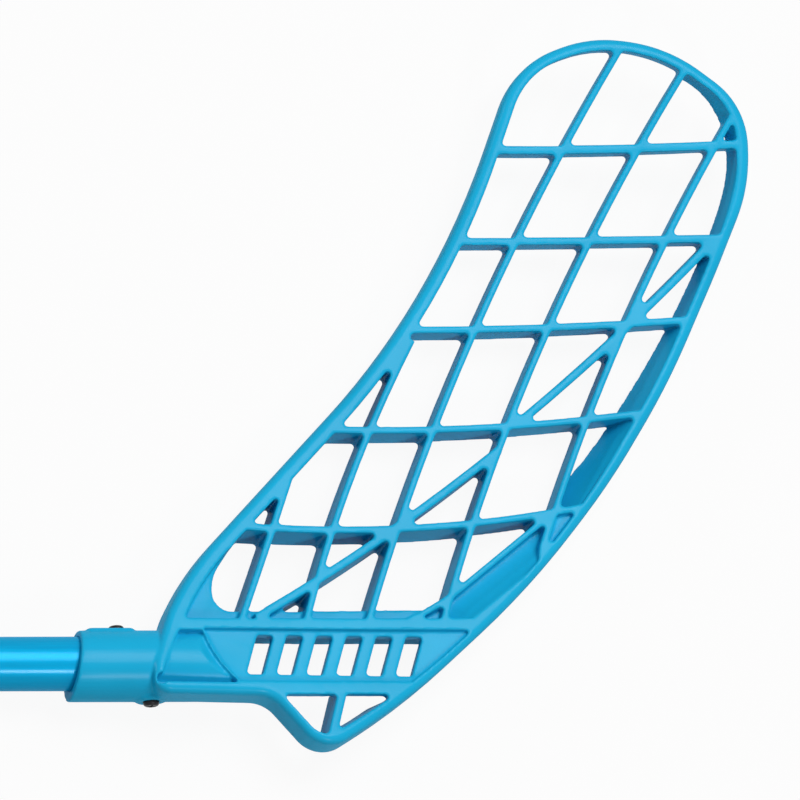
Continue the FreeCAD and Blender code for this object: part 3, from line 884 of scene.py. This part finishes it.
@dataclass
class Studio:
    """Floor, lamps, surroundings and camera."""

    blade_origin: Place = (920 * MM, 0.0, 0.0)
    yaw: float = 15.0
    pitch: float = 14.0
    frame_width: float = 297.3 * MM
    centre: tuple[float, float] = (120.2 * MM, 97.6 * MM)
    blade_depth: float = -61 * MM
    lens: float = 1500.0
    sensor: float = 36.0
    floor_size: float = 120.0
    floor_middle: tuple[float, float] = (0.6, 0.0)
    floor_gap: float = 0.2 * MM
    floor_colour: Colour = (0.6, 0.6, 0.6, 1)
    floor_glow: float = 0.93
    surroundings: float = 0.22
    lamps: tuple[Softbox, ...] = (
        Softbox("key_softbox", (0.93, 1.13, 1.63), (1.1, 1.2), 40),
        Softbox("lower_softbox", (0.87, -1.20, 1.62), (0.12, 0.46), 11),
        Softbox("side_softbox", (-1.5, 1.0, 0.9), (0.3, 0.3), 6),
    )

    def axes(self) -> tuple[Vector, Vector, Vector]:
        """Right, up and towards the camera, in the row frame."""
        alpha, beta = math.radians(self.yaw), math.radians(self.pitch)
        side = math.sin(alpha)
        right = Vector((math.cos(alpha), -math.sin(beta) * side, math.cos(beta) * side))
        up = Vector((0, math.cos(beta), math.sin(beta)))
        return right, up, right.cross(up)

    def middle(self) -> Vector:
        """Point at the picture's middle, in the plane of the blade's origin."""
        right, up, _ = self.axes()
        return Vector(self.blade_origin) + right * self.centre[0] + up * self.centre[1]

    def set_camera(self) -> None:
        """Makes the camera at the picture's angle."""
        right, up, towards = self.axes()
        target = self.middle() + towards * self.blade_depth
        data = bpy.data.cameras.new("camera")
        data.lens = self.lens
        data.sensor_width = self.sensor
        data.clip_start = 0.1
        data.clip_end = 100.0
        camera = bpy.data.objects.new("camera", data)
        bpy.context.scene.collection.objects.link(camera)
        distance = self.frame_width * self.lens / self.sensor
        turn = Matrix((right, up, towards)).transposed().to_4x4()
        camera.matrix_world = Matrix.Translation(target + towards * distance) @ turn
        bpy.context.scene.camera = camera

    @staticmethod
    def background_rays(tree: bpy.types.NodeTree) -> Shade:
        """Whether a ray looks at the background, straight or in a reflection, rather than lights something.

        Args:
            tree: the node tree of the floor or the surroundings.

        Returns:
            1 for such a ray and 0 for others.
        """
        path = tree.nodes.new("ShaderNodeLightPath")
        camera, glossy, through = (
            Shade(tree, path.outputs[f"Is {kind} Ray"]) for kind in ("Camera", "Glossy", "Transmission"))
        return camera.math("MAXIMUM", glossy).math("MAXIMUM", through)

    def lay_floor(self) -> None:
        """Lays a pale floor under the stick."""
        bpy.ops.object.select_all(action="DESELECT")
        place = (*self.floor_middle, CAD_BOX[0].z - self.floor_gap)
        bpy.ops.mesh.primitive_plane_add(size=self.floor_size, location=place)
        floor = bpy.context.object
        floor.name = "floor"
        palette = Palette("pale_floor")
        palette.set(Base_Color=self.floor_colour, Roughness=0.9, Specular_IOR_Level=0.1)
        glow = palette.node("ShaderNodeEmission", Color=WHITE, Strength=1.0)
        share = self.background_rays(palette.tree) * self.floor_glow
        mixed = palette.node("ShaderNodeMixShader", Fac=share)
        palette.link(palette.shader.outputs["BSDF"], mixed.inputs[1])
        palette.link(glow.outputs["Emission"], mixed.inputs[2])
        palette.link(mixed.outputs["Shader"], palette.output.inputs["Surface"])
        floor.data.materials.append(palette.material)

    def hang_lamp(self, box: Softbox) -> None:
        """Hangs one softbox that faces the blade.

        Args:
            box: the softbox, its size in metres and its power in watts.
        """
        right, up, towards = self.axes()
        middle = self.middle()
        data = bpy.data.lights.new(box.name, "AREA")
        data.shape = "RECTANGLE"
        data.size, data.size_y = box.size
        data.energy = box.power
        lamp = bpy.data.objects.new(box.name, data)
        bpy.context.scene.collection.objects.link(lamp)
        lamp.location = middle + right * box.place[0] + up * box.place[1] + towards * box.place[2]
        lamp.rotation_mode = "QUATERNION"
        lamp.rotation_quaternion = (middle - lamp.location).to_track_quat("-Z", "Y")

    def light(self) -> None:
        """Hangs the lamps and lights the surroundings."""
        for box in self.lamps:
            self.hang_lamp(box)
        world = bpy.data.worlds.new("surroundings")
        world.use_nodes = True
        tree = world.node_tree
        tree.nodes.clear()
        output = tree.nodes.new("ShaderNodeOutputWorld")
        choose = tree.nodes.new("ShaderNodeMixShader")
        tree.links.new(self.background_rays(tree).socket, choose.inputs["Fac"])
        for socket, strength in ((choose.inputs[1], self.surroundings), (choose.inputs[2], 1.0)):
            sky = tree.nodes.new("ShaderNodeBackground")
            sky.inputs["Color"].default_value = WHITE
            sky.inputs["Strength"].default_value = strength
            tree.links.new(sky.outputs["Background"], socket)
        tree.links.new(choose.outputs["Shader"], output.inputs["Surface"])
        bpy.context.scene.world = world
        bpy.context.scene.view_settings.view_transform = "Standard"


def main() -> None:
    """Builds and dresses every piece, sets the studio and logs the pieces' face counts."""
    logging.basicConfig(level=logging.INFO, format="%(name)s %(message)s")
    pieces = [
        Blade(),
        Shaft(),
        BladeScrew("upper_blade_screw", Axis.TO_TOE),
        BladeScrew("lower_blade_screw", Axis.FROM_TOE),
        EndCap(),
        GripTape(),
        GripBand(),
    ]
    for maker in pieces:
        maker.dress(maker.build())
    studio = Studio()
    studio.lay_floor()
    studio.light()
    studio.set_camera()


if __name__ == "__main__":
    main()
